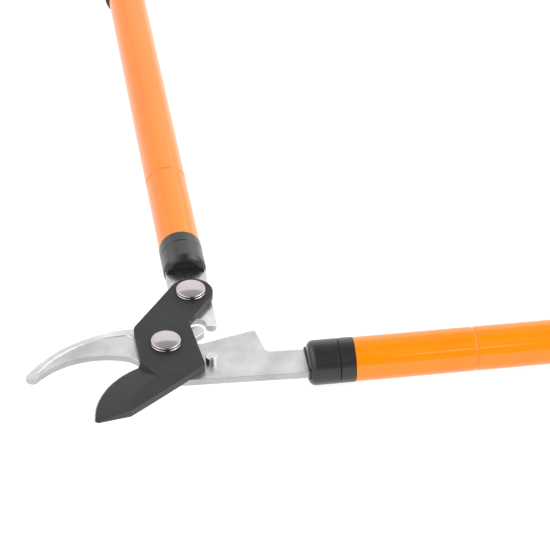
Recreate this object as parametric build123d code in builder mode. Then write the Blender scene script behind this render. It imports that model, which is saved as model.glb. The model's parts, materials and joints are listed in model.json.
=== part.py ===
from build123d import *
import os
from math import cos, radians, sin, tan

# Bypass loppers with a geared second lever. The tool lies flat on its grips with the
# bolt heads up: +X runs along the hook-side handle, +Z up, all sizes in millimetres.
os.makedirs("parts", exist_ok=True)

# ---- driving dimensions -------------------------------------------------------------
# pivots, and how they lie to each other with the jaws open
PIVOT_X = -270.67             # main pivot in the tool's own frame
PIVOT_Y = -278.37
AXIS_Z = 17.0                 # height of both handle axes: the fattest ring of the grip
LINK_DISTANCE = 54.5          # main pivot to link pivot, measured along the blade
LINK_ANGLE = 67.25            # direction of the link pivot, from the hook-side handle
LEVER_ANGLE = 91.15           # direction of the lever-side handle
HANDLE_OFFSET = -23.7         # hook-side handle axis, beside the main pivot

# plates
PLATE_T = 4.5                 # hook plate and drive lever, in one layer
BLADE_T = 4.5                 # cutting blade, lying on both
LAYER_GAP = 0.06              # running gap between the two layers
EDGE_BREAK = 0.15             # small bevel along the plates' outlines
PLATE_Z = AXIS_Z - PLATE_T / 2
BLADE_Z = PLATE_Z + PLATE_T + LAYER_GAP
BLADE_TOP = BLADE_Z + BLADE_T

# gear teeth: two lobes on the hook plate, a fork on the lever that rolls over them
LOBE_R = 4.7
LOBE_CENTRE_R = 26.1
LOBE_ANGLES = (36.5, 87.8)
ROOT_R = 20.3
LOBE_FOOT_R = 1.2
FORK_HALF_W = 12.6            # half the lever's width at the fork
FORK_TIP_R = 3.5              # rounding of each finger's tip
FORK_X = -28.4                # centre of the finger tips, from the link pivot
NOTCH_R = FORK_HALF_W - 2 * FORK_TIP_R
LEVER_HALF_W = 13.1           # half the lever's width where it enters the collar

# pivot bolts: round head, square neck held in the blade, shank turning in the plates
HEAD_R = 9.4
HEAD_H = 3.7
HEAD_WALL = 2.1               # upright side of the head, up to its rounded edge
HEAD_EDGE_R = 0.7
FLANGE_H = 0.95               # the head's foot, parted from its disc by a narrow groove
GROOVE_H = 0.25
GROOVE_D = 0.35
NECK = 9.9
NECK_HOLE = 10.0
SHANK_R = 5.0
BORE_R = 5.05
THREAD_R = 4.85
WASHER_R = 10.0
WASHER_T = 1.6
WASHER_HOLE_R = 5.25
NUT_AF = 17.0
NUT_H = 7.6
NUT_COLLAR_R = 7.3
NUT_COLLAR_H = 2.4
INSERT_R = 6.3
NUT_BORE_R = 4.87
BOLT_STICK_OUT = 1.2
HEAD_FOOT_BEVEL = 0.3
NECK_LIFT = 0.1               # the square neck ends just inside the blade
NECK_CORNER_R = 0.4
BOLT_END_BEVEL = 0.8
WASHER_EDGE = 0.25
NUT_TURNING = 30.0            # slope of the turned corners, in degrees
NUT_COLLAR_EDGE_R = 0.8
INSERT_RECESS = 0.3

# stop pin standing on the hook plate beside the blade
STOP_X = 26.5
STOP_Y = -17.1
STOP_R = 3.7
STOP_SPIGOT_R = 3.0
STOP_H = 5.6
STOP_EDGE_R = 0.8

# handles, measured from the front face of the collar
LOWER_COLLAR_X = 85.5         # collar front, from the main pivot
UPPER_COLLAR_X = 27.8         # collar front, from the link pivot
TUBE_R = 14.0
TUBE_WALL = 1.2
TUBE_START = 28.95
TUBE_END = 519.0
TANG_HALF_W = 11.5
TANG_END = 124.0
SLOT_PLAY = 0.1
CRIMP_S = 105.1               # rolled groove that locks the tang plug
CRIMP_HALF = 1.0
CRIMP_DEPTH = 0.6
COLLAR_R = 14.15              # the collar is flush with the tube and sits on the plug
COLLAR_BORE_R = 12.77
COLLAR_NOSE = 4.5             # rounding of the collar's front
CAP_WALL = 2.5
COLLAR_BEVEL = 0.5            # bevels on both sides of the groove between cap and ring
LIP_HALF_W = 12.3             # lip round the tang's slot in the collar's front
LIP_W = 1.4
LIP_OUT = 0.7
CAP_LEN = 19.3
RING_START = 19.36
RING_END = 28.9
PLUG_R = 12.72
PLUG_START = 2.7
PLUG_END = 119.0
GRIP_START = 366.0
GRIP_END = 522.0
GRIP_R = 17.0
GRIP_BORE_R = 14.05
END_FLANGE_R = 15.6
END_FLANGE_T = 3.0
END_STEM_LEN = 24.0
TAB_T = 7.0
TAB_W = 20.0
TAB_REACH = 9.0               # flange face to the hang hole's centre
HANG_HOLE_R = 4.0

LINK_X = LINK_DISTANCE * cos(radians(LINK_ANGLE))
LINK_Y = LINK_DISTANCE * sin(radians(LINK_ANGLE))


def head_plane(z):
    """Plane at height z with its origin on the main pivot."""
    return Plane(origin=(PIVOT_X, PIVOT_Y, z))


def lever_plane(z):
    """Plane at height z on the link pivot, local X along the lever-side handle."""
    along = (cos(radians(LEVER_ANGLE)), sin(radians(LEVER_ANGLE)), 0)
    return Plane(origin=(PIVOT_X + LINK_X, PIVOT_Y + LINK_Y, z), x_dir=along, z_dir=(0, 0, 1))


def handle_plane(side):
    """Plane through a handle's axis: X along it from the collar front, Y up."""
    if side == "lower":
        angle = 0.0
        x = PIVOT_X + LOWER_COLLAR_X
        y = PIVOT_Y + HANDLE_OFFSET
    else:
        angle = radians(LEVER_ANGLE)
        x = PIVOT_X + LINK_X + UPPER_COLLAR_X * cos(angle)
        y = PIVOT_Y + LINK_Y + UPPER_COLLAR_X * sin(angle)
    return Plane(
        origin=(x, y, AXIS_Z),
        x_dir=(cos(angle), sin(angle), 0),
        z_dir=(sin(angle), -cos(angle), 0),
    )


def cross_plane(side, s):
    """Plane across a handle at distance s behind the collar front: X sideways, Y up."""
    base = handle_plane(side)
    origin = base.origin + base.x_dir * s
    return Plane(origin=origin, x_dir=-base.z_dir, z_dir=base.x_dir)


def handle_axis(side):
    base = handle_plane(side)
    return Axis(base.origin, base.x_dir)


def break_edges(plate, z, sharp=()):
    """Bevels the outline of a plate's face at height z, but not its edges nearest the sharp points."""
    face = plate.faces().filter_by(Axis.Z).sort_by_distance(Vector(PIVOT_X, PIVOT_Y, z))[0]
    outline = face.outer_wire().edges()
    left_sharp = [outline.sort_by_distance(Vector(PIVOT_X + x, PIVOT_Y + y, z))[0] for x, y in sharp]
    chamfer([edge for edge in outline if edge not in left_sharp], EDGE_BREAK)


# ---- hook plate: hook, toothed root, shoulder and tang in one plate -------------------
HOOK_BEVEL_H = 2.3            # depth of the bevel ground along the hook's back
HOLLOW_DEPTH = 0.35           # shallow hollow pressed into the hook's upper face
HOOK_TOP = PLATE_Z + PLATE_T
with BuildPart() as hook_hollow:
    with BuildSketch(head_plane(HOOK_TOP - HOLLOW_DEPTH)):
        with BuildLine():
            rim = ThreePointArc((-80.6, -13.0), (-50.0, 11.8), (-24.5, 16.7))
            corner = ThreePointArc(rim @ 1, (-21.7, 15.5), (-20.5, 12.7))
            Polyline(corner @ 1, (-20.5, -40.0), (-80.6, -40.0), rim @ 0)
        make_face()
    extrude(amount=1.0, taper=-45)

with BuildPart() as hook_grind:
    with BuildSketch(head_plane(HOOK_TOP - HOOK_BEVEL_H)):
        Polygon((-12.0, 45.0), (-12.0, 5.0), (-60.0, -30.0), (-100.0, -30.0), (-100.0, 45.0),
                align=None)
    extrude(amount=HOOK_BEVEL_H + 1.0)
    with BuildSketch(head_plane(HOOK_TOP - HOOK_BEVEL_H)):
        with Locations((-13.6, -64.3)):
            Circle(91.0)
    with BuildSketch(head_plane(HOOK_TOP)):
        with Locations((-24.6, -50.9)):
            Circle(68.3)
    loft(mode=Mode.SUBTRACT)
    with BuildSketch(head_plane(HOOK_TOP)):
        with Locations((-24.6, -50.9)):
            Circle(68.3)
    extrude(amount=1.5, mode=Mode.SUBTRACT)

with BuildPart() as hook_plate:
    with BuildSketch(head_plane(PLATE_Z)):
        with BuildLine():
            back = ThreePointArc((-87.7, -11.9), (-62.2, 12.6), (-30.0, 25.2))
            Line(back @ 1, (-10.0, 24.2))
            Line((-10.0, 24.2), (5.0, 14.0))
            Line((5.0, 14.0), (16.0, 2.2))
            Line((16.0, 2.2), (24.0, 2.2))
            Line((24.0, 2.2), (28.4, 3.6))
            Line((28.4, 3.6), (57.2, 11.2))
            Line((57.2, 11.2), (61.4, -11.3))
            Line((61.4, -11.3), (80.0, HANDLE_OFFSET + TANG_HALF_W))
            Line((80.0, HANDLE_OFFSET + TANG_HALF_W),
                 (LOWER_COLLAR_X + TANG_END, HANDLE_OFFSET + TANG_HALF_W))
            Line((LOWER_COLLAR_X + TANG_END, HANDLE_OFFSET + TANG_HALF_W),
                 (LOWER_COLLAR_X + TANG_END, HANDLE_OFFSET - TANG_HALF_W))
            Line((LOWER_COLLAR_X + TANG_END, HANDLE_OFFSET - TANG_HALF_W),
                 (80.0, HANDLE_OFFSET - TANG_HALF_W))
            Line((80.0, HANDLE_OFFSET - TANG_HALF_W), (6.0, -32.2))
            ThreePointArc((6.0, -32.2), (-9.9, -24.2), (-18.4, -9.6))
            Line((-18.4, -9.6), (-23.0, -5.2))
            ThreePointArc((-23.0, -5.2), (-52.0, -1.3), (-81.6, -17.6))
            ThreePointArc((-81.6, -17.6), (-86.6, -17.2), (-87.7, -11.9))
        make_face()
        Circle(ROOT_R)
        for angle in LOBE_ANGLES:
            a = radians(angle)
            mid = (LOBE_CENTRE_R + ROOT_R - LOBE_R) / 2
            with Locations((mid * cos(a), mid * sin(a))):
                SlotCenterToCenter(LOBE_CENTRE_R - ROOT_R + LOBE_R, 2 * LOBE_R, rotation=angle)
        Circle(BORE_R, mode=Mode.SUBTRACT)
        with Locations((STOP_X, STOP_Y)):
            Circle(STOP_SPIGOT_R, mode=Mode.SUBTRACT)
    extrude(amount=PLATE_T)
    corner = hook_plate.edges().filter_by(Axis.Z)
    shoulder_foot = corner.sort_by_distance(Vector(PIVOT_X + 61.4, PIVOT_Y - 11.3, AXIS_Z))[0]
    fillet(shoulder_foot, 4.0)
    corner = hook_plate.edges().filter_by(Axis.Z)
    shoulder_tip = corner.sort_by_distance(Vector(PIVOT_X + 57.2, PIVOT_Y + 11.2, AXIS_Z))[0]
    fillet(shoulder_tip, 1.2)
    # the lobes run into the root circle with small fillets
    pivot = Vector(PIVOT_X, PIVOT_Y, PLATE_Z + PLATE_T / 2)
    feet = [
        edge for edge in hook_plate.edges().filter_by(Axis.Z)
        if abs((edge.center() - pivot).length - ROOT_R) < 0.1
        and edge.center().X > PIVOT_X - 5 and edge.center().Y > PIVOT_Y
    ]
    fillet(feet, LOBE_FOOT_R)
    hook_tip = (-86.6, -17.2)
    belly = (-9.9, -24.2)
    break_edges(hook_plate, HOOK_TOP, sharp=(hook_tip, belly))
    break_edges(hook_plate, PLATE_Z, sharp=(hook_tip, belly))
    add(hook_grind.part, mode=Mode.SUBTRACT)
    add(hook_hollow.part, mode=Mode.SUBTRACT)
hook_plate.part.label = "hook_plate"
export_step(hook_plate.part, "parts/hook_plate.step")

# ---- cutting blade --------------------------------------------------------------------
EDGE_LAND = 0.25              # flat left under the ground bevel
BOSS_R = 14.1
STEP_SLOPE = 24.0             # lean of the wall where the ground bevel ends, in degrees
with BuildPart() as grind:
    with BuildSketch(head_plane(BLADE_Z + EDGE_LAND)):
        Polygon((-20.9, -13.2), (-9.9, -32.0), (-2.0, -75.0), (-60.0, -75.0), (-60.0, -10.0),
                align=None)
    extrude(amount=BLADE_T, taper=-STEP_SLOPE)
    with BuildSketch(head_plane(BLADE_Z + EDGE_LAND)):
        with Locations((2.36, -64.17)):
            Circle(52.06)
    with BuildSketch(head_plane(BLADE_TOP + 0.02)):
        with Locations((21.0, -72.0)):
            Circle(50.2)
    loft(mode=Mode.SUBTRACT)

with BuildPart() as cutting_blade:
    with BuildSketch(head_plane(BLADE_Z)):
        with BuildLine():
            edge = ThreePointArc((-17.5, -16.0), (-38.9, -32.5), (-49.3, -61.2))
            tip = ThreePointArc(edge @ 1, (-48.7, -64.2), (-47.0, -65.2))
            Line(tip @ 1, (-27.4, -61.9))
            ThreePointArc((-27.4, -61.9), (-5.0, -45.2), (17.0, -28.1))
            Line((17.0, -28.1), (22.1, -24.2))
            Line((22.1, -24.2), (16.5, 19.5))
            Line((16.5, 19.5), (32.4, 42.5))
            Line((32.4, 42.5), (LINK_X, LINK_Y))
            Line((LINK_X, LINK_Y), (9.75, 58.3))
            Line((9.75, 58.3), (-18.9, 17.9))
            Line((-18.9, 17.9), (-17.5, -16.0))
        make_face()
        with Locations((LINK_X, LINK_Y)):
            Circle(BOSS_R)
        Rectangle(NECK_HOLE, NECK_HOLE, mode=Mode.SUBTRACT)
        with Locations((LINK_X, LINK_Y)):
            Rectangle(NECK_HOLE, NECK_HOLE, mode=Mode.SUBTRACT)
    extrude(amount=BLADE_T)
    for x, y, r in ((22.1, -24.2, 4.0), (16.5, 19.5, 3.0), (-18.9, 17.9, 9.0),
                    (30.1, 39.4, 2.0), (8.3, 56.3, 2.0), (-27.4, -61.9, 1.5)):
        upright = cutting_blade.edges().filter_by(Axis.Z)
        near = upright.sort_by_distance(Vector(PIVOT_X + x, PIVOT_Y + y, BLADE_Z))[0]
        fillet(near, r)
    break_edges(cutting_blade, BLADE_TOP, sharp=((-49.0, -63.7),))
    add(grind.part, mode=Mode.SUBTRACT)
cutting_blade.part.label = "cutting_blade"
export_step(cutting_blade.part, "parts/cutting_blade.step")

# ---- drive lever: forked bar with its tang --------------------------------------------
with BuildPart() as drive_lever:
    with BuildSketch(lever_plane(PLATE_Z)):
        shoulder_x = UPPER_COLLAR_X + 1.6
        Polygon((FORK_X, -FORK_HALF_W), (0.0, -FORK_HALF_W), (UPPER_COLLAR_X - 2.0, -LEVER_HALF_W),
                (shoulder_x, -LEVER_HALF_W), (shoulder_x, LEVER_HALF_W),
                (UPPER_COLLAR_X - 2.0, LEVER_HALF_W), (0.0, FORK_HALF_W), (FORK_X, FORK_HALF_W),
                align=None)
        with Locations((shoulder_x - 0.5, 0)):
            Rectangle(UPPER_COLLAR_X + TANG_END - shoulder_x + 0.5, 2 * TANG_HALF_W,
                      align=(Align.MIN, Align.CENTER))
        for side_sign in (-1, 1):
            with Locations((FORK_X, side_sign * (FORK_HALF_W - FORK_TIP_R))):
                Circle(FORK_TIP_R)
        with Locations((FORK_X, 0)):
            Circle(NOTCH_R, mode=Mode.SUBTRACT)
        Circle(BORE_R, mode=Mode.SUBTRACT)
    extrude(amount=PLATE_T)
    break_edges(drive_lever, HOOK_TOP)
    break_edges(drive_lever, PLATE_Z)
drive_lever.part.label = "drive_lever"
export_step(drive_lever.part, "parts/drive_lever.step")

# ---- stop pin: spigot pressed into the hook plate, post standing over it ---------------
with BuildPart() as stop_pin:
    with BuildSketch(head_plane(PLATE_Z)):
        with Locations((STOP_X, STOP_Y)):
            Circle(STOP_SPIGOT_R)
    extrude(amount=PLATE_T)
    with BuildSketch(head_plane(HOOK_TOP)):
        with Locations((STOP_X, STOP_Y)):
            Circle(STOP_R)
    extrude(amount=STOP_H)
    crown = stop_pin.faces().sort_by(Axis.Z)[-1]
    fillet(crown.edges(), STOP_EDGE_R)
stop_pin.part.label = "stop_pin"
export_step(stop_pin.part, "parts/stop_pin.step")

# ---- the two pivots: bolt, washer, lock nut and its nylon ring -------------------------
WASHER_TOP = PLATE_Z - LAYER_GAP
NUT_TOP = WASHER_TOP - WASHER_T
NUT_FOOT = NUT_TOP - NUT_H
COLLAR_FOOT = NUT_FOOT - NUT_COLLAR_H
for name, px, py in (("main", 0.0, 0.0), ("link", LINK_X, LINK_Y)):
    centre = (PIVOT_X + px, PIVOT_Y + py)
    bolt_axis = Axis((centre[0], centre[1], 0), (0, 0, 1))

    with BuildPart() as pivot_bolt:
        with BuildSketch(Plane(origin=(*centre, 0), x_dir=(1, 0, 0), z_dir=(0, -1, 0))):
            with BuildLine():
                end_z = COLLAR_FOOT - BOLT_STICK_OUT
                neck_z = BLADE_Z + NECK_LIFT
                inner_r = SHANK_R - NECK_LIFT
                edge_z = BLADE_TOP + HEAD_WALL
                flat_r = HEAD_R - HEAD_EDGE_R
                bend = HEAD_EDGE_R * (1 - cos(radians(45)))
                dome_h = HEAD_H - HEAD_WALL - HEAD_EDGE_R
                rim = ThreePointArc((flat_r, edge_z + HEAD_EDGE_R),
                                    (HEAD_R - bend, edge_z + HEAD_EDGE_R - bend),
                                    (HEAD_R, edge_z))
                ThreePointArc((0, BLADE_TOP + HEAD_H),
                              (flat_r / 2, edge_z + HEAD_EDGE_R + 0.75 * dome_h),
                              (flat_r, edge_z + HEAD_EDGE_R))
                foot_z = BLADE_TOP + FLANGE_H
                Polyline(rim @ 1, (HEAD_R, foot_z + GROOVE_H), (HEAD_R - GROOVE_D, foot_z + GROOVE_H),
                         (HEAD_R - GROOVE_D, foot_z), (HEAD_R, foot_z - GROOVE_D),
                         (HEAD_R, BLADE_TOP + HEAD_FOOT_BEVEL), (HEAD_R - HEAD_FOOT_BEVEL, BLADE_TOP),
                         (inner_r, BLADE_TOP), (inner_r, neck_z), (SHANK_R, neck_z),
                         (SHANK_R, WASHER_TOP + 0.2), (THREAD_R, WASHER_TOP),
                         (THREAD_R, end_z + BOLT_END_BEVEL), (THREAD_R - BOLT_END_BEVEL, end_z),
                         (0, end_z), (0, BLADE_TOP + HEAD_H))
            make_face()
        revolve(axis=bolt_axis)
        with BuildSketch(Plane(origin=(*centre, neck_z))):
            RectangleRounded(NECK, NECK, NECK_CORNER_R)
        extrude(amount=BLADE_TOP - neck_z)
    pivot_bolt.part.label = f"{name}_pivot_bolt"
    export_step(pivot_bolt.part, f"parts/{name}_pivot_bolt.step")

    with BuildPart() as washer:
        with BuildSketch(Plane(origin=(*centre, NUT_TOP))):
            Circle(WASHER_R)
            Circle(WASHER_HOLE_R, mode=Mode.SUBTRACT)
        extrude(amount=WASHER_T)
        chamfer(washer.edges().filter_by(GeomType.CIRCLE).sort_by(SortBy.RADIUS)[-2:], WASHER_EDGE)
    washer.part.label = f"{name}_washer"
    export_step(washer.part, f"parts/{name}_washer.step")

    with BuildPart() as lock_nut:
        with BuildSketch(Plane(origin=(*centre, NUT_FOOT))):
            RegularPolygon(NUT_AF / 2, 6, major_radius=False)
        extrude(amount=NUT_H)
        # the hexagon's corners are turned off, top and bottom
        with BuildSketch(Plane(origin=(*centre, 0), x_dir=(1, 0, 0), z_dir=(0, -1, 0))):
            corner_r = NUT_AF / 2 * 1.16
            turned_r = NUT_AF / 2 * 0.97
            drop = (corner_r - turned_r) * tan(radians(NUT_TURNING))
            for z, step in ((NUT_TOP, -drop), (NUT_FOOT, drop)):
                with BuildLine():
                    Polyline((turned_r, z), (corner_r, z + step), (corner_r + 1, z + step),
                             (corner_r + 1, z - step / 4), (turned_r, z - step / 4),
                             (turned_r, z))
                make_face()
        revolve(axis=bolt_axis, mode=Mode.SUBTRACT)
        with BuildSketch(Plane(origin=(*centre, COLLAR_FOOT))):
            Circle(NUT_COLLAR_R)
        extrude(amount=NUT_COLLAR_H)
        fillet(lock_nut.edges().group_by(Axis.Z)[0], NUT_COLLAR_EDGE_R)
        with BuildSketch(Plane(origin=(*centre, COLLAR_FOOT))):
            Circle(NUT_BORE_R)
        extrude(amount=NUT_H + NUT_COLLAR_H, mode=Mode.SUBTRACT)
        with BuildSketch(Plane(origin=(*centre, COLLAR_FOOT))):
            Circle(INSERT_R)
        extrude(amount=NUT_COLLAR_H, mode=Mode.SUBTRACT)
    lock_nut.part.label = f"{name}_lock_nut"
    export_step(lock_nut.part, f"parts/{name}_lock_nut.step")

    with BuildPart() as nut_insert:
        with BuildSketch(Plane(origin=(*centre, COLLAR_FOOT + INSERT_RECESS))):
            Circle(INSERT_R)
            Circle(NUT_BORE_R, mode=Mode.SUBTRACT)
        extrude(amount=NUT_COLLAR_H - INSERT_RECESS)
    nut_insert.part.label = f"{name}_nut_insert"
    export_step(nut_insert.part, f"parts/{name}_nut_insert.step")

# ---- the two handles ------------------------------------------------------------------
GRIP_RINGS = 13
RING_PITCH = 7.0
RING_FIRST = 390.0
RING_CUT_R = 1.0              # section of the grooves that part the grip's ribs
RING_CUT_CENTRE_R = 16.6
for side in ("lower", "upper"):
    profile = handle_plane(side)
    axis = handle_axis(side)
    slot_half_w = (TANG_HALF_W if side == "lower" else LEVER_HALF_W) + SLOT_PLAY
    slot_h = PLATE_T + 2 * SLOT_PLAY

    with BuildPart() as handle_tube:
        with BuildSketch(profile):
            with BuildLine():
                bore_r = TUBE_R - TUBE_WALL
                Line((TUBE_START, bore_r), (TUBE_START, TUBE_R))
                Line((TUBE_START, TUBE_R), (CRIMP_S - CRIMP_HALF, TUBE_R))
                ThreePointArc((CRIMP_S - CRIMP_HALF, TUBE_R), (CRIMP_S, TUBE_R - CRIMP_DEPTH),
                              (CRIMP_S + CRIMP_HALF, TUBE_R))
                Line((CRIMP_S + CRIMP_HALF, TUBE_R), (TUBE_END, TUBE_R))
                Line((TUBE_END, TUBE_R), (TUBE_END, bore_r))
                Line((TUBE_END, bore_r), (CRIMP_S + CRIMP_HALF, bore_r))
                ThreePointArc((CRIMP_S + CRIMP_HALF, bore_r), (CRIMP_S, bore_r - CRIMP_DEPTH),
                              (CRIMP_S - CRIMP_HALF, bore_r))
                Line((CRIMP_S - CRIMP_HALF, bore_r), (TUBE_START, bore_r))
            make_face()
        revolve(axis=axis)
    handle_tube.part.label = f"{side}_handle_tube"
    export_step(handle_tube.part, f"parts/{side}_handle_tube.step")

    with BuildPart() as collar_cap:
        with BuildSketch(profile):
            with BuildLine():
                nose = COLLAR_NOSE * (1 - cos(radians(45)))
                Line((0, 0), (0, COLLAR_R - COLLAR_NOSE))
                ThreePointArc((0, COLLAR_R - COLLAR_NOSE), (nose, COLLAR_R - nose),
                              (COLLAR_NOSE, COLLAR_R))
                Polyline((COLLAR_NOSE, COLLAR_R), (CAP_LEN - COLLAR_BEVEL, COLLAR_R),
                         (CAP_LEN, COLLAR_R - COLLAR_BEVEL), (CAP_LEN, COLLAR_BORE_R),
                         (CAP_WALL, COLLAR_BORE_R), (CAP_WALL, 0), (0, 0))
            make_face()
        revolve(axis=axis)
        # a low lip stands round the slot that the tang comes through
        with BuildSketch(cross_plane(side, 0)):
            RectangleRounded(2 * LIP_HALF_W, slot_h + 2 * LIP_W, LIP_W / 2)
        extrude(amount=LIP_OUT, both=True)
        with BuildSketch(cross_plane(side, -1)):
            Rectangle(2 * slot_half_w, slot_h)
        extrude(amount=CAP_WALL + 1.5, mode=Mode.SUBTRACT)
    collar_cap.part.label = f"{side}_collar_cap"
    export_step(collar_cap.part, f"parts/{side}_collar_cap.step")

    with BuildPart() as collar_ring:
        with BuildSketch(profile):
            Polygon((RING_START, COLLAR_BORE_R), (RING_START, COLLAR_R - COLLAR_BEVEL),
                    (RING_START + COLLAR_BEVEL, COLLAR_R), (RING_END - COLLAR_BEVEL, COLLAR_R),
                    (RING_END, COLLAR_R - COLLAR_BEVEL), (RING_END, COLLAR_BORE_R), align=None)
        revolve(axis=axis)
    collar_ring.part.label = f"{side}_collar_ring"
    export_step(collar_ring.part, f"parts/{side}_collar_ring.step")

    with BuildPart() as tang_plug:
        with BuildSketch(profile):
            groove_half = CRIMP_HALF + 0.5
            groove_r = PLUG_R - CRIMP_DEPTH
            Polygon((PLUG_START, 0), (PLUG_START, PLUG_R), (CRIMP_S - groove_half, PLUG_R),
                    (CRIMP_S - CRIMP_HALF / 2, groove_r), (CRIMP_S + CRIMP_HALF / 2, groove_r),
                    (CRIMP_S + groove_half, PLUG_R), (PLUG_END, PLUG_R), (PLUG_END, 0),
                    align=None)
        revolve(axis=axis)
        with BuildSketch(cross_plane(side, PLUG_START)):
            Rectangle(2 * TANG_HALF_W + 0.1, PLATE_T + 0.1)
        extrude(amount=PLUG_END - PLUG_START, mode=Mode.SUBTRACT)
    tang_plug.part.label = f"{side}_tang_plug"
    export_step(tang_plug.part, f"parts/{side}_tang_plug.step")

    with BuildPart() as grip:
        with BuildSketch(profile):
            with BuildLine():
                nose = ThreePointArc((GRIP_START, GRIP_BORE_R), (GRIP_START + 0.6, 15.6),
                                     (GRIP_START + 3.0, 16.3))
                body = Spline(nose @ 1, (GRIP_START + 16, 15.7), (GRIP_START + 54, 16.1),
                              (GRIP_START + 95, 16.3), (GRIP_START + 131, 15.8),
                              (GRIP_END - 7, GRIP_R), tangents=((1, 0), (1, 0)))
                tail = ThreePointArc(body @ 1, (GRIP_END - 2.0, GRIP_R - 1.4), (GRIP_END, 14.6))
                Polyline(tail @ 1, (GRIP_END, GRIP_BORE_R), (GRIP_START, GRIP_BORE_R))
            make_face()
            for i in range(GRIP_RINGS):
                with Locations((RING_FIRST + i * RING_PITCH, RING_CUT_CENTRE_R)):
                    Circle(RING_CUT_R, mode=Mode.SUBTRACT)
        revolve(axis=axis)
    grip.part.label = f"{side}_grip"
    export_step(grip.part, f"parts/{side}_grip.step")

    with BuildPart() as end_plug:
        with BuildSketch(profile):
            stem_r = TUBE_R - TUBE_WALL - 0.05
            Polygon((GRIP_END - END_STEM_LEN, 0), (GRIP_END - END_STEM_LEN, stem_r - 0.8),
                    (GRIP_END - END_STEM_LEN + 0.8, stem_r), (GRIP_END, stem_r),
                    (GRIP_END, END_FLANGE_R - 0.4), (GRIP_END + 0.4, END_FLANGE_R),
                    (GRIP_END + END_FLANGE_T - 1.0, END_FLANGE_R),
                    (GRIP_END + END_FLANGE_T, END_FLANGE_R - 1.0), (GRIP_END + END_FLANGE_T, 0),
                    align=None)
        revolve(axis=axis)
        tab_plane = Plane(origin=profile.origin, x_dir=profile.x_dir, z_dir=(0, 0, 1))
        face_s = GRIP_END + END_FLANGE_T
        with BuildSketch(tab_plane.offset(-TAB_T / 2)):
            with Locations((face_s - 1.0, 0)):
                Rectangle(TAB_REACH + 1.0, TAB_W, align=(Align.MIN, Align.CENTER))
            with Locations((face_s + TAB_REACH, 0)):
                Circle(TAB_W / 2)
        extrude(amount=TAB_T)
        with BuildSketch(tab_plane.offset(-TAB_T / 2)):
            with Locations((face_s + TAB_REACH, 0)):
                Circle(HANG_HOLE_R)
        extrude(amount=TAB_T, mode=Mode.SUBTRACT)
    end_plug.part.label = f"{side}_end_plug"
    export_step(end_plug.part, f"parts/{side}_end_plug.step")
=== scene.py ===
import json
from math import cos, pi, radians, sin

import bmesh
import bpy
from mathutils import Matrix, Vector


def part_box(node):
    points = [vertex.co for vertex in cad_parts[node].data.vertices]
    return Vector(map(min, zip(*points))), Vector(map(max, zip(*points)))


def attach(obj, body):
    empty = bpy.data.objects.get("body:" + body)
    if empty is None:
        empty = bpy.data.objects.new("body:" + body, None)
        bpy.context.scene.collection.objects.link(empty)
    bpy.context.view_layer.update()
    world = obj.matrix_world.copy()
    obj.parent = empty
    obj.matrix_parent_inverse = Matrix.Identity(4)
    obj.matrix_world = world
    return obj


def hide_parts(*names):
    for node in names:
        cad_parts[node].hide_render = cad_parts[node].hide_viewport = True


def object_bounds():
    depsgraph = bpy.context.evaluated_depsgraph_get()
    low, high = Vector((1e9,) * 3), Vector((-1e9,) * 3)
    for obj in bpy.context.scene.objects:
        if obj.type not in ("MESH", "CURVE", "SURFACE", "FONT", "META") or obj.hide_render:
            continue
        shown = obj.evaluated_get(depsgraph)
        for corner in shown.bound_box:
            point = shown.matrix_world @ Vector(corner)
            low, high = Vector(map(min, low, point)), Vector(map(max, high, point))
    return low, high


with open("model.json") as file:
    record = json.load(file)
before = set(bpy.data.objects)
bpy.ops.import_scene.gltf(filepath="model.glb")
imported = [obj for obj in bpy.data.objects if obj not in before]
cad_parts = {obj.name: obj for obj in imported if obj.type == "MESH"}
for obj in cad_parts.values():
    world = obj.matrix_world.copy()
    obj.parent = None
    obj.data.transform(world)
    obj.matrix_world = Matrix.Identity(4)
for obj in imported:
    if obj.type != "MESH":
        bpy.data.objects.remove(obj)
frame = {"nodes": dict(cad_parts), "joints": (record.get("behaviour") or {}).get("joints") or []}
CAD_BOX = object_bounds()
MM = 0.001

# ---- camera: the photograph's angle, from the main pivot -----------------------------------
CAMERA_FROM_PIVOT = Vector((-0.08156, -1.06867, 0.86404))
CAMERA_TURN = (radians(53.06), 0.0, radians(-7.9975))
LENS_MM = 144.0
SENSOR_MM = 36.0

# ---- studio --------------------------------------------------------------------------------
FLOOR_RADIUS = 14.0
FLOOR_SEGMENTS = 96
FLOOR_COLOUR = (0.35, 0.35, 0.35, 1)
FLOOR_ROUGHNESS = 0.9
FLOOR_SPECULAR = 0.1
FLOOR_GLOW = 2.5              # light of the backlit sweep, which keeps shadows faint
BACKDROP = 1.0                # what the camera sees past the floor's edge

# The tent's brightness by angle, in degrees from the horizon behind the tool, over the top,
# to the horizon in front of it.
TENT = (
    (0, 1.45),
    (43, 1.45),
    (46, 0.75),
    (62, 0.55),
    (90, 0.10),
    (150, 0.05),
    (180, 0.35),
)

# Left and right of the tool the tent has its own brightness. X and Z are those of the
# direction looked in, and each fade goes from its first number to its second.
SIDE_LEVEL = 1.15
SIDE_CENTRE_X = 0.07
SIDE_FADE = (0.16, 0.32)      # distance of X from the centre

# Gloss also sees brighter side walls high up, which draw the pale lines along the tubes.
GLARE_LEVEL = 2.7
GLARE_CENTRE_X = -0.06
GLARE_FADE = (0.38, 0.64)     # distance of X from the centre
GLARE_FADE_Z = (0.22, 0.42)

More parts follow.
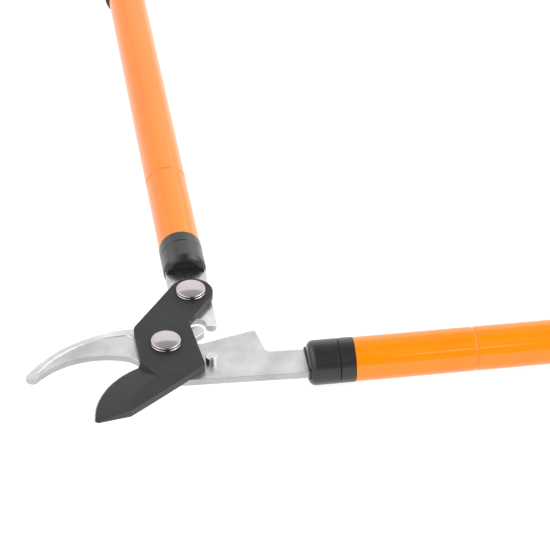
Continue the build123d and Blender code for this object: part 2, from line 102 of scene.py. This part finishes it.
LIGHTS = (
    # soft front light, kept out of reflections
    {"name": "key_light", "place": (0.35, -1.0, 1.35), "aim": (-0.15, -0.2, 0),
     "size": (0.9, 0.9), "power": 14.0, "glossy": False},
    # softbox at the right, seen in the rims and the hook's hollow
    {"name": "side_softbox", "place": (0.91, -0.62, 1.02), "aim": (-0.3, -0.27, 0),
     "size": (0.5, 1.0), "power": 3.4, "glossy": True},
    # small lamp that only draws the narrow highlights
    {"name": "glint_light", "place": (0.21, -1.5, 0.95), "aim": (-0.08, -0.3, 0),
     "size": (0.16, 0.16), "power": 0.22, "glossy": True},
)

# ---- finishes: tones from one end of a noise to the other, and roughness the same way ------
STEEL_TONES = ((0.0, (0.45, 0.45, 0.45)), (0.5, (0.575, 0.575, 0.57)),
               (1.0, (0.665, 0.665, 0.66)))
STEEL_WEAR = (-0.05, 0.07)    # what handling marks add to the roughness
STEEL_GRAIN_TONE = (0.42, 0.42, 0.42, 1)
STEEL_GRAIN_MIX = (0.93, 1.0)  # share of the plain tone on a grain line and beside it
# tone of the cut sides: a darker cut finish together with painted shade on the walls
STEEL_CUT_AND_SHADE_TONE = (0.20, 0.20, 0.20, 1)
STEEL_SIDE_WEAR = 0.05

COATING_TONES = ((0.0, (0.016, 0.016, 0.0163)), (1.0, (0.022, 0.022, 0.0223)))
COATING_ROUGHNESS = (0.46, 0.56)
COATING_IOR = 1.36
# paler tone of the cut sides: painted light standing in for what the walls catch
COATING_SIDE_PAINTED_LIGHT = (0.045, 0.045, 0.0455, 1)
HONED_TONE = (0.55, 0.55, 0.55, 1)
HONED_ROUGHNESS = 0.3
HONED_TOP = 0.58 * MM         # above the blade's underside, where bare steel begins to show
HONED_FULL = 0.46 * MM        # and where all of it is bare
HONED_WAVE = 0.22 * MM        # how far that line wanders

PIN_COLOUR = (0.54, 0.52, 0.52)
CHROME_COLOUR = (0.48, 0.44, 0.455)
SMEAR_SHADE = 0.94            # a smear's tone, as a share of the clean metal's
SMEAR_ROUGHER = 0.07
SMEAR_NOISE_HIGH = 0.75
SCRATCH_LINES = (0.6, 0.75)   # the noise values that make a scratch
SCRATCH_GAPS = (0.4, 0.7)     # and those of the noise that breaks it up

ZINC_TONES = ((0.0, (0.52, 0.54, 0.57)), (0.55, (0.66, 0.67, 0.68)), (1.0, (0.74, 0.72, 0.66)))
ZINC_ROUGHNESS = (0.24, 0.42)

ORANGE_TONES = ((0.0, (0.91, 0.205, 0.001)), (1.0, (0.94, 0.220, 0.0012)))
ORANGE_ROUGHNESS = (0.09, 0.13)

NYLON_COLOUR = (0.55, 0.55, 0.50)
COLLAR_COLOUR = (0.0115, 0.0115, 0.012)
PLUG_COLOUR = (0.026, 0.026, 0.027)
PLASTIC_FLOW_SHADE = 1.35     # the palest streak of flow, as a share of the plain colour
PLASTIC_WEAR = (-0.05, 0.06)
PLASTIC_GRAIN = 0.008 * MM
PLUG_GRAIN = 0.015 * MM

RUBBER_TONES = ((0.0, (0.018, 0.018, 0.019)), (0.6, (0.028, 0.028, 0.029)),
                (1.0, (0.045, 0.044, 0.043)))
RUBBER_DUST_NOISE_HIGH = 0.72
RUBBER_ROUGHNESS = (0.62, 0.78)
RUBBER_SHEEN = 0.12
RUBBER_SHEEN_ROUGHNESS = 0.5

# ---- grips: the sleeves that are remodelled here -------------------------------------------
GRIP_SEGMENTS = 96
GRIP_STEP = 0.7 * MM          # length of one ring of faces
GRIP_FIT = 0.05 * MM          # play between the grip's bore and the tube
GRIP_SWELLS = (               # distance from the front and radius there, in mm
    (0.0, 16.3),
    (16.0, 15.7),
    (54.0, 16.1),
    (95.0, 16.3),
    (131.0, 15.8),
    (149.0, 16.83),
)
NOSE_LENGTH = 3.0 * MM        # the rounding at the front, and how much it takes off the radius
NOSE_DROP = 1.6 * MM
TAIL_LENGTH = 6.0 * MM        # the same at the rear
TAIL_DROP = 2.2 * MM
RIB_FIRST = 24.0 * MM
RIB_PITCH = 7.0 * MM
RIB_COUNT = 13
RIB_HALF = 1.1 * MM
RIB_DEPTH = 0.85 * MM
RIB_FADE = (0.10, 0.35)       # where the grooves start and their run-in, as the cosine of the
                              # angle from level, which is 0 at the sleeve's top and bottom
SEAM_HEIGHT = 0.16 * MM
SEAM_HALF = 0.035             # half the width of the moulding seam, in radians
GRIP_EDGE_ANGLE = radians(50)


def joint(name):
    return next(j for j in frame["joints"] if j["name"] == name)


def make_camera():
    data = bpy.data.cameras.new("camera")
    data.lens = LENS_MM
    data.sensor_width = SENSOR_MM
    camera = bpy.data.objects.new("camera", data)
    camera.location = Vector(joint("blade_pivot")["pos_m"]) + CAMERA_FROM_PIVOT
    camera.rotation_euler = CAMERA_TURN
    bpy.context.scene.collection.objects.link(camera)
    bpy.context.scene.camera = camera


def area_light(name, place, aim, size, power, glossy):
    data = bpy.data.lights.new(name, "AREA")
    data.shape = "RECTANGLE"
    data.size, data.size_y = size
    data.energy = power
    light = bpy.data.objects.new(name, data)
    light.location = place
    light.rotation_euler = (Vector(aim) - Vector(place)).to_track_quat("-Z", "Y").to_euler()
    light.visible_camera = False
    light.visible_glossy = glossy
    bpy.context.scene.collection.objects.link(light)


def make_world():
    """A light tent: bright behind the tool and at its sides, dim over it and in front."""
    world = bpy.data.worlds.new("tent")
    world.use_nodes = True
    bpy.context.scene.world = world
    g = Graph(world.node_tree)
    path = g.add("ShaderNodeLightPath").outputs
    x, y, z = g.split(g.add("ShaderNodeTexCoord").outputs["Generated"])

    stops = [(angle / 180, (level,) * 3) for angle, level in TENT]
    level = g.ramp(g.math("ARCTAN2", z, y), stops, 0.0, pi)
    sides = g.span(g.distance(x, SIDE_CENTRE_X), *SIDE_FADE)
    level = g.blend(sides, level, SIDE_LEVEL)
    walls = g.span(g.distance(x, GLARE_CENTRE_X), *GLARE_FADE)
    walls = g.math("MULTIPLY", walls, g.span(z, *GLARE_FADE_Z))
    level = g.blend(g.math("MULTIPLY", walls, path["Is Glossy Ray"]), level, GLARE_LEVEL)
    level = g.blend(path["Is Camera Ray"], level, BACKDROP)

    background = world.node_tree.nodes["Background"]
    background.inputs["Color"].default_value = (1, 1, 1, 1)
    g.link(level, background.inputs["Strength"])


# ---- small helpers for node trees ----------------------------------------------------------
class Graph:
    """Adds nodes to a tree, setting inputs by name; an input may be a value or a socket."""

    NOISE_LOW, NOISE_HIGH = 0.3, 0.7      # nearly all of a noise's values lie between these
    UP_FADE = (0.3, 0.5)                  # a normal's Z, from not facing up to facing up
    UPRIGHT_FADE = (0.35, 0.15)           # its size, from a flat face to an upright one

    def __init__(self, tree):
        self.tree = tree

    def link(self, source, target):
        self.tree.links.new(source, target)

    def put(self, socket, value):
        if isinstance(value, bpy.types.NodeSocket):
            self.link(value, socket)
        else:
            socket.default_value = value

    def add(self, kind, **inputs):
        node = self.tree.nodes.new(kind)
        for name, value in inputs.items():
            self.put(node.inputs[name], value)
        return node

    def math(self, operation, a, b=0.0):
        node = self.add("ShaderNodeMath")
        node.operation = operation
        self.put(node.inputs[0], a)
        self.put(node.inputs[1], b)
        return node.outputs[0]

    def distance(self, value, centre):
        return self.math("ABSOLUTE", self.math("SUBTRACT", value, centre))

    def split(self, vector):
        return self.add("ShaderNodeSeparateXYZ", Vector=vector).outputs

    def span(self, value, low, high, to_low=0.0, to_high=1.0):
        """The value, carried from one range to another and kept inside it."""
        node = self.add("ShaderNodeMapRange", Value=value)
        for socket, number in zip(list(node.inputs)[1:5], (low, high, to_low, to_high)):
            socket.default_value = number
        return node.outputs["Result"]

    def vary(self, noise, values, noise_high=NOISE_HIGH):
        """A number that wanders between two values with a noise."""
        return self.span(noise, self.NOISE_LOW, noise_high, *values)

    def ramp(self, value, stops, low, high):
        node = self.add("ShaderNodeValToRGB")
        self.link(self.span(value, low, high), node.inputs["Fac"])
        points = node.color_ramp.elements
        while len(points) < len(stops):
            points.new(0.5)
        for point, (place, colour) in zip(points, stops):
            point.position = place
            point.color = (*colour, 1)
        return node.outputs["Color"]

    def tint(self, noise, stops, noise_high=NOISE_HIGH):
        """A colour that wanders through the stops with a noise."""
        return self.ramp(noise, stops, self.NOISE_LOW, noise_high)

    def blend(self, factor, a, b):
        """a where the factor is 0 and b where it is 1, for plain numbers."""
        node = self.add("ShaderNodeMix")
        self.put(node.inputs[0], factor)
        self.put(node.inputs[2], a)
        self.put(node.inputs[3], b)
        return node.outputs[0]

    def mix(self, factor, a, b):
        """The same for colours."""
        node = self.add("ShaderNodeMix")
        node.data_type = "RGBA"
        self.put(node.inputs[0], factor)
        self.put(node.inputs[6], a)
        self.put(node.inputs[7], b)
        return node.outputs[2]

    def coords(self, turn=0.0, stretch=(1, 1, 1)):
        """The piece's own coordinates in metres, turned about Z and stretched."""
        place = self.add("ShaderNodeTexCoord").outputs["Object"]
        turned = self.add("ShaderNodeMapping", Vector=place, Rotation=(0, 0, turn))
        return self.add("ShaderNodeMapping", Vector=turned.outputs[0], Scale=stretch).outputs[0]

    def noise(self, scale, detail=3.0, roughness=0.55, vector=None):
        if vector is None:
            vector = self.coords()
        node = self.add("ShaderNodeTexNoise", Vector=vector, Scale=scale, Detail=detail,
                        Roughness=roughness)
        return node.outputs["Fac"]

    def streaks(self, turn, stretch, detail, roughness=0.55):
        """Noise drawn out into lines: its scale along each axis is the stretch."""
        return self.noise(1.0, detail, roughness, self.coords(turn, stretch))

    def bump(self, height, depth, strength, normal=None):
        node = self.add("ShaderNodeBump", Height=height, Distance=depth, Strength=strength)
        if normal is not None:
            self.link(normal, node.inputs["Normal"])
        return node.outputs["Normal"]

    def normal_z(self):
        return self.split(self.add("ShaderNodeNewGeometry").outputs["True Normal"])["Z"]

    def facing_up(self):
        """1 on faces that look upward, 0 on upright and downward ones."""
        return self.span(self.normal_z(), *self.UP_FADE)

    def upright(self):
        """0 on faces that look up or down, 1 on a plate's cut sides."""
        return self.span(self.math("ABSOLUTE", self.normal_z()), *self.UPRIGHT_FADE)


def material(name):
    made = bpy.data.materials.new(name)
    made.use_nodes = True
    graph = Graph(made.node_tree)
    return made, graph, made.node_tree.nodes["Principled BSDF"].inputs


# ---- materials -----------------------------------------------------------------------------
def satin_steel(name, grain_angle, side_shade, rough):
    """Ground steel plate: fine straight grain, cloudy marks, rougher cut sides, darker from
    their cut finish and from painted shade.
    """
    made, g, shader = material(name)
    clouds = g.noise(scale=45.0, detail=4.0)
    marks = g.noise(scale=260.0, detail=5.0, roughness=0.65)
    grain = g.streaks(turn=-grain_angle, stretch=(60, 2400, 60), detail=4.0, roughness=0.6)
    cut = g.streaks(turn=0.0, stretch=(1500, 1500, 120), detail=3.0, roughness=0.6)
    sides = g.upright()

    tone = g.mix(g.vary(grain, STEEL_GRAIN_MIX), STEEL_GRAIN_TONE, g.tint(clouds, STEEL_TONES))
    # painted shade, with the darker cut finish, on the upright cut sides
    tone = g.mix(g.math("MULTIPLY", sides, side_shade), tone, STEEL_CUT_AND_SHADE_TONE)
    worn = g.vary(marks, [rough + more for more in STEEL_WEAR])
    worn = g.math("ADD", worn, g.math("MULTIPLY", sides, STEEL_SIDE_WEAR))
    normal = g.bump(grain, depth=0.006 * MM, strength=0.4)
    cut = g.math("MULTIPLY", cut, sides)
    normal = g.bump(cut, depth=0.05 * MM, strength=0.6, normal=normal)

    shader["Metallic"].default_value = 1.0
    g.link(tone, shader["Base Color"])
    g.link(worn, shader["Roughness"])
    g.link(normal, shader["Normal"])
    return made


def blade_coating(underside_z):
    """Black low-friction coating, painted paler on the cut sides as painted light, and honed off
    along the edge.
    """
    made, g, shader = material("blade_coating_look")
    peel = g.noise(scale=900.0)
    speck = g.noise(scale=4200.0, detail=2.0)
    clouds = g.noise(scale=60.0, detail=4.0)
    wave = g.math("MULTIPLY", g.noise(scale=700.0), HONED_WAVE)
    height = g.math("ADD", g.split(g.coords())["Z"], wave)
    low = g.span(height, underside_z + HONED_TOP, underside_z + HONED_FULL)
    honed = g.math("MULTIPLY", low, g.facing_up())

    # painted light: the cut sides are painted paler than the top
    tone = g.mix(g.upright(), g.tint(clouds, COATING_TONES), COATING_SIDE_PAINTED_LIGHT)
    rough = g.blend(honed, g.vary(peel, COATING_ROUGHNESS), HONED_ROUGHNESS)
    normal = g.bump(peel, depth=0.010 * MM, strength=0.6)
    normal = g.bump(speck, depth=0.004 * MM, strength=0.5, normal=normal)

    shader["IOR"].default_value = COATING_IOR
    g.link(g.mix(honed, tone, HONED_TONE), shader["Base Color"])
    g.link(honed, shader["Metallic"])
    g.link(rough, shader["Roughness"])
    g.link(normal, shader["Normal"])
    return made


def polished_metal(name, colour, rough):
    """Polished metal with hairline scratches and faint smears."""
    made, g, shader = material(name)
    smear = g.noise(scale=320.0, detail=4.0)
    lines = g.streaks(turn=0.5, stretch=(150, 6500, 150), detail=2.0)
    gaps = g.streaks(turn=-0.9, stretch=(150, 5200, 150), detail=2.0)
    scratches = g.math("MULTIPLY", g.span(lines, *SCRATCH_LINES), g.span(gaps, *SCRATCH_GAPS))
    smeared = tuple(SMEAR_SHADE * c for c in colour)
    worn = g.vary(smear, (rough, rough + SMEAR_ROUGHER), SMEAR_NOISE_HIGH)

    shader["Metallic"].default_value = 1.0
    g.link(g.tint(smear, ((0.0, smeared), (1.0, colour))), shader["Base Color"])
    g.link(worn, shader["Roughness"])
    g.link(g.bump(scratches, depth=-0.003 * MM, strength=0.5), shader["Normal"])
    return made


def zinc_plate():
    """Zinc-plated hardware: bluish, cloudy, a little dull."""
    made, g, shader = material("zinc_look")
    clouds = g.noise(scale=500.0, detail=5.0, roughness=0.65)
    fine = g.noise(scale=2500.0)
    shader["Metallic"].default_value = 1.0
    g.link(g.tint(clouds, ZINC_TONES), shader["Base Color"])
    g.link(g.vary(clouds, ZINC_ROUGHNESS), shader["Roughness"])
    g.link(g.bump(fine, depth=0.006 * MM, strength=0.5), shader["Normal"])
    return made


def orange_paint():
    """Gloss powder coat with the faint orange peel such paint has."""
    made, g, shader = material("orange_paint_look")
    peel = g.noise(scale=420.0, detail=2.0, roughness=0.4)
    ripple = g.noise(scale=90.0, detail=2.0)
    shift = g.noise(scale=25.0)
    normal = g.bump(peel, depth=0.010 * MM, strength=0.5)
    normal = g.bump(ripple, depth=0.020 * MM, strength=0.4, normal=normal)
    g.link(g.tint(shift, ORANGE_TONES), shader["Base Color"])
    g.link(g.vary(ripple, ORANGE_ROUGHNESS), shader["Roughness"])
    g.link(normal, shader["Normal"])
    return made


def moulded_plastic(name, colour, rough, grain=PLASTIC_GRAIN):
    """Moulded plastic with a fine spark-eroded grain and slight flow variation."""
    made, g, shader = material(name)
    flow = g.noise(scale=70.0)
    fine = g.noise(scale=3000.0, roughness=0.6)
    light = tuple(PLASTIC_FLOW_SHADE * c for c in colour)
    g.link(g.tint(flow, ((0.0, colour), (1.0, light))), shader["Base Color"])
    g.link(g.vary(fine, [rough + more for more in PLASTIC_WEAR]), shader["Roughness"])
    g.link(g.bump(fine, depth=grain, strength=0.6), shader["Normal"])
    return made


def grip_rubber():
    """Soft matt elastomer: dry micro grain, paler where hands have dusted it."""
    made, g, shader = material("grip_rubber_look")
    dust = g.noise(scale=55.0, detail=5.0, roughness=0.6)
    fine = g.noise(scale=2600.0, detail=4.0, roughness=0.65)
    shader["Sheen Weight"].default_value = RUBBER_SHEEN
    shader["Sheen Roughness"].default_value = RUBBER_SHEEN_ROUGHNESS
    g.link(g.tint(dust, RUBBER_TONES, RUBBER_DUST_NOISE_HIGH), shader["Base Color"])
    g.link(g.vary(fine, RUBBER_ROUGHNESS), shader["Roughness"])
    g.link(g.bump(fine, depth=0.03 * MM, strength=0.7), shader["Normal"])
    return made


def floor_material():
    made, _, shader = material("floor_look")
    shader["Base Color"].default_value = FLOOR_COLOUR
    shader["Roughness"].default_value = FLOOR_ROUGHNESS
    shader["Specular IOR Level"].default_value = FLOOR_SPECULAR
    shader["Emission Color"].default_value = FLOOR_COLOUR
    shader["Emission Strength"].default_value = FLOOR_GLOW
    return made


def make_looks():
    """One look for each material slot of the record; the two plates have their own grain."""
    lever_angle = handle_angle("upper")
    return {
        "hook_plate": satin_steel("hook_steel_look", 0.0, side_shade=0.35, rough=0.38),
        "drive_lever": satin_steel("lever_steel_look", lever_angle, side_shade=0.5, rough=0.26),
        "blade_coating": blade_coating(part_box("cutting_blade")[0].z),
        "polished_steel": polished_metal("pin_look", PIN_COLOUR, rough=0.07),
        "bolt_chrome": polished_metal("bolt_chrome_look", CHROME_COLOUR, rough=0.05),
        "zinc_steel": zinc_plate(),
        "nylon": moulded_plastic("nylon_look", NYLON_COLOUR, rough=0.35),
        "orange_paint": orange_paint(),
        "collar_plastic": moulded_plastic("collar_look", COLLAR_COLOUR, rough=0.28),
        "plug_plastic": moulded_plastic("plug_look", PLUG_COLOUR, rough=0.48, grain=PLUG_GRAIN),
        "grip_rubber": grip_rubber(),
    }


def dress_cad_nodes(looks):
    by_node = {
        "hook_plate": "hook_plate",
        "drive_lever": "drive_lever",
        "cutting_blade": "blade_coating",
        "stop_pin": "polished_steel",
    }
    for pivot in ("main", "link"):
        by_node[f"{pivot}_pivot_bolt"] = "bolt_chrome"
        by_node[f"{pivot}_washer"] = "zinc_steel"
        by_node[f"{pivot}_lock_nut"] = "zinc_steel"
        by_node[f"{pivot}_nut_insert"] = "nylon"
    for side in ("lower", "upper"):
        by_node[f"{side}_handle_tube"] = "orange_paint"
        by_node[f"{side}_collar_cap"] = "collar_plastic"
        by_node[f"{side}_collar_ring"] = "collar_plastic"
        by_node[f"{side}_tang_plug"] = "plug_plastic"
        by_node[f"{side}_end_plug"] = "plug_plastic"
    for node, look in by_node.items():
        data = frame["nodes"][node].data
        for i in range(len(data.materials)):
            data.materials[i] = looks[look]


# ---- geometry read from the frame ----------------------------------------------------------
def centre(node):
    low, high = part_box(node)
    return (low + high) / 2


def handle_angle(side):
    """The way a handle runs from its collar ring, as an angle about Z from +X."""
    run = centre(f"{side}_handle_tube") - centre(f"{side}_collar_ring")
    return -Vector((1, 0)).angle_signed(run.xy)     # angle_signed counts clockwise


# ---- grips: ribbed elastomer sleeves with a flared tail and a moulding seam ----------------
def smooth(t):
    t = min(max(t, 0.0), 1.0)
    return t * t * (3 - 2 * t)


def swell(s):
    """The sleeve's radius at distance s from its front, before its ends are rounded."""
    for (s0, r0), (s1, r1) in zip(GRIP_SWELLS, GRIP_SWELLS[1:]):
        if s <= s1 * MM:
            return (r0 + (r1 - r0) * smooth((s - s0 * MM) / ((s1 - s0) * MM))) * MM
    return GRIP_SWELLS[-1][1] * MM


def rounding(s, end_length, drop):
    """What a rounded end takes off the radius at distance s from that end."""
    near = max(0.0, 1 - s / end_length)
    return drop * (1 - (1 - near ** 2) ** 0.5)


def rib_cut(s, angle):
    """Depth of the grooves between the ribs, which run out towards top and bottom."""
    nearest = min(max(round((s - RIB_FIRST) / RIB_PITCH), 0), RIB_COUNT - 1)
    away = abs(s - RIB_FIRST - nearest * RIB_PITCH) / RIB_HALF
    start, run_in = RIB_FADE
    across = smooth((abs(cos(angle)) - start) / run_in)
    return RIB_DEPTH * across * (1 - smooth(away))


def sleeve_radius(s, length, angle):
    seam = SEAM_HEIGHT * max(0.0, 1 - abs(cos(angle)) / SEAM_HALF)
    ends = rounding(s, NOSE_LENGTH, NOSE_DROP) + rounding(length - s, TAIL_LENGTH, TAIL_DROP)
    return swell(s) - ends - rib_cut(s, angle) + seam


def sleeve_mesh(name, length, bore):
    """A closed sleeve along X about the origin: its outside, two end faces and its bore."""
    angles = [2 * pi * k / GRIP_SEGMENTS for k in range(GRIP_SEGMENTS)]
    count = round(length / GRIP_STEP)
    places = [i * length / count for i in range(count + 1)]
    outside = [(s, [sleeve_radius(s, length, angle) for angle in angles]) for s in places]
    inside = [bore] * GRIP_SEGMENTS

    bm = bmesh.new()
    rings = []
    for s, radii in [(0.0, inside), *outside, (length, inside)]:
        rings.append([bm.verts.new((s - length / 2, r * cos(angle), r * sin(angle)))
                      for r, angle in zip(radii, angles)])
    for a, b in zip(rings, rings[1:] + rings[:1]):
        for k in range(GRIP_SEGMENTS):
            n = (k + 1) % GRIP_SEGMENTS
            bm.faces.new((a[k], a[n], b[n], b[k]))
    bmesh.ops.recalc_face_normals(bm, faces=bm.faces)
    mesh = bpy.data.meshes.new(name)
    bm.to_mesh(mesh)
    bm.free()
    mesh.shade_smooth()
    mesh.set_sharp_from_angle(angle=GRIP_EDGE_ANGLE)
    return mesh


def make_grip(side, look):
    """The lower handle lies along X, so its boxes give both sleeves' length and bore."""
    name = f"{side}_grip_sleeve"
    low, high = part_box("lower_grip")
    tube_low, tube_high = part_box("lower_handle_tube")
    mesh = sleeve_mesh(name, high.x - low.x, (tube_high.z - tube_low.z) / 2 + GRIP_FIT)
    mesh.materials.append(look)
    sleeve = bpy.data.objects.new(name, mesh)
    bpy.context.scene.collection.objects.link(sleeve)
    turn = Matrix.Rotation(handle_angle(side), 4, "Z")
    sleeve.matrix_world = Matrix.Translation(centre(f"{side}_grip")) @ turn
    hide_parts(f"{side}_grip")
    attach(sleeve, "hook_handle" if side == "lower" else "lever_handle")


def make_floor():
    mesh = bpy.data.meshes.new("floor")
    bm = bmesh.new()
    bmesh.ops.create_circle(bm, cap_ends=True, segments=FLOOR_SEGMENTS, radius=FLOOR_RADIUS)
    bm.to_mesh(mesh)
    bm.free()
    floor = bpy.data.objects.new("floor", mesh)
    floor.location.z = CAD_BOX[0].z
    mesh.materials.append(floor_material())
    bpy.context.scene.collection.objects.link(floor)


looks = make_looks()
make_camera()
make_world()
for light in LIGHTS:
    area_light(**light)
make_floor()
dress_cad_nodes(looks)
for side in ("lower", "upper"):
    make_grip(side, looks["grip_rubber"])

bpy.context.scene.view_settings.view_transform = "Standard"
